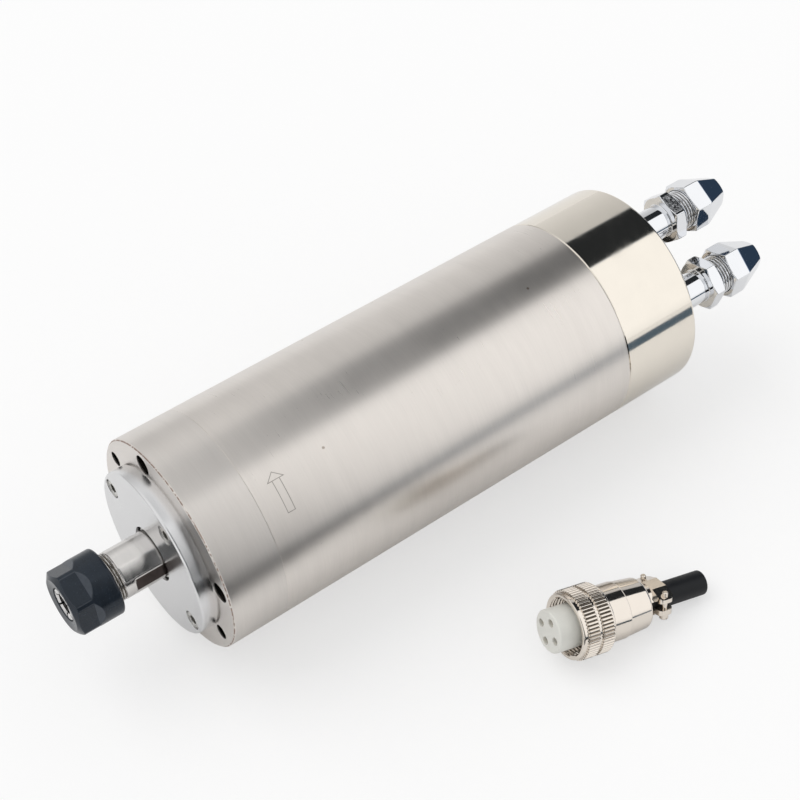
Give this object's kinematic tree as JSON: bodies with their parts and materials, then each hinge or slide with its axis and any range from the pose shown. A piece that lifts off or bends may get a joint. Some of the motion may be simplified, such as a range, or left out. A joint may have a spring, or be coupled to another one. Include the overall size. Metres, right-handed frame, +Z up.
{
  "type": "motor spindle",
  "caption": "Water-cooled milling motor spindle, a ground cylinder with a collet chuck at the nose, hose fittings and a power socket at the tail, and its loose cable plug.",
  "frame": {"origin": "on the spindle's axis, half way along the ground sleeve that the machine's clamp holds", "axes": "+X along the axis from the nose to the tail, +Z up with the spindle lying on its side as pictured, +Y completes the right hand"},
  "size_m": [0.225, 0.116, 0.062],
  "materials": {
    "ground_steel": "cylindrically ground stainless steel, satin",
    "polished_steel": "polished stainless steel",
    "cover_aluminium": "turned satin",
    "shaft_steel": "ground",
    "black_oxide": "black oxide, satin",
    "collet_steel": "ground",
    "screw_steel": "plated",
    "bearing_steel": "polished",
    "cage_resin": "phenolic resin",
    "jacket_aluminium": "turned",
    "lamination_steel": "stacked sheet",
    "winding_copper": "enamelled copper",
    "cage_aluminium": "cast",
    "chrome_plate": "chrome-plated brass",
    "nickel_plate": "nickel-plated brass",
    "insulator_white": "moulded",
    "insulator_dark": "moulded",
    "contact_brass": "plated",
    "lead_insulation": "silicone",
    "sleeve_rubber": "matte",
    "seal_rubber": "matte",
    "tube_copper": "drawn",
    "spring_steel": "hardened"
  },
  "bodies": {
    "housing": {"front_bearing_housing": "ground_steel", "front_cover": "cover_aluminium", "front_cover_screws": "screw_steel", "front_housing_screws": "screw_steel", "outer_sleeve": "ground_steel", "water_jacket": "jacket_aluminium", "jacket_o_rings": "seal_rubber", "stator_core": "lamination_steel", "stator_windings": "winding_copper", "motor_leads": "lead_insulation", "front_bearing_outer_rings": "bearing_steel", "rear_bearing_housing": "jacket_aluminium", "rear_bearing_outer_ring": "bearing_steel", "preload_spring": "spring_steel", "rear_cap": "polished_steel", "rear_cap_screws": "screw_steel", "inlet_fitting": "chrome_plate", "outlet_fitting": "chrome_plate", "port_seals": "seal_rubber", "water_tubes": "tube_copper", "socket_shell": "nickel_plate", "socket_nut": "nickel_plate", "socket_insulator": "insulator_dark", "socket_pins": "contact_brass"},
    "rotor": {"shaft": "shaft_steel", "front_thrower": "bearing_steel", "front_bearing_inner_rings": "bearing_steel", "rotor_core": "lamination_steel", "rotor_cage": "cage_aluminium", "rear_bearing_inner_ring": "bearing_steel", "rear_locknut": "spring_steel"},
    "front_ball_set": {"front_ball_cages": "cage_resin", "front_balls": "bearing_steel"},
    "rear_ball_set": {"rear_ball_cage": "cage_resin", "rear_balls": "bearing_steel"},
    "collet": {"collet": "collet_steel"},
    "collet_nut": {"collet_nut": "black_oxide"},
    "inlet_nut": {"inlet_hose_nut": "chrome_plate"},
    "outlet_nut": {"outlet_hose_nut": "chrome_plate"},
    "plug": {"plug_barrel": "nickel_plate", "plug_insulator": "insulator_white", "plug_contacts": "contact_brass", "plug_shell": "nickel_plate", "cable_clamp_saddle": "nickel_plate", "cable_clamp_screws": "nickel_plate", "cable_sleeve": "sleeve_rubber"},
    "coupling_ring": {"coupling_ring": "nickel_plate"}
  },
  "joints": [
    {"name": "rotor_spin", "type": "hinge", "parent": "housing", "child": "rotor", "pos_m": [0, 0, 0], "axis": [-1, 0, 0], "continuous": true},
    {"name": "front_cage_spin", "type": "hinge", "parent": "housing", "child": "front_ball_set", "pos_m": [-0.0646, 0, 0], "axis": [-1, 0, 0], "continuous": true},
    {"name": "rear_cage_spin", "type": "hinge", "parent": "housing", "child": "rear_ball_set", "pos_m": [0.0424, 0, 0], "axis": [-1, 0, 0], "continuous": true},
    {"name": "collet_slide", "type": "slide", "parent": "rotor", "child": "collet", "axis": [-1, 0, 0], "range_m": [0, 0.0076]},
    {"name": "collet_nut_turn", "type": "hinge", "parent": "collet", "child": "collet_nut", "pos_m": [-0.1006, 0, 0], "axis": [-1, 0, 0], "range_deg": [0, 3600]},
    {"name": "inlet_nut_slide", "type": "slide", "parent": "housing", "child": "inlet_nut", "axis": [1, 0, 0], "range_m": [0, 0.012]},
    {"name": "outlet_nut_slide", "type": "slide", "parent": "housing", "child": "outlet_nut", "axis": [1, 0, 0], "range_m": [0, 0.012]},
    {"name": "plug_lift", "type": "slide", "parent": "housing", "child": "plug", "axis": [0, 0, 1], "range_m": [0, 0.075]},
    {"name": "coupling_ring_turn", "type": "hinge", "parent": "plug", "child": "coupling_ring", "pos_m": [0.00512, -0.07392, -0.02058], "axis": [-0.9686, 0.1743, 0.1772], "continuous": true}
  ],
  "couplings": [
    {"joint": "front_cage_spin", "follows": "rotor_spin", "ratio": 0.4022},
    {"joint": "rear_cage_spin", "follows": "rotor_spin", "ratio": 0.3851},
    {"joint": "collet_slide", "follows": "collet_nut_turn", "m_per_rad": 0.00011937}
  ]
}
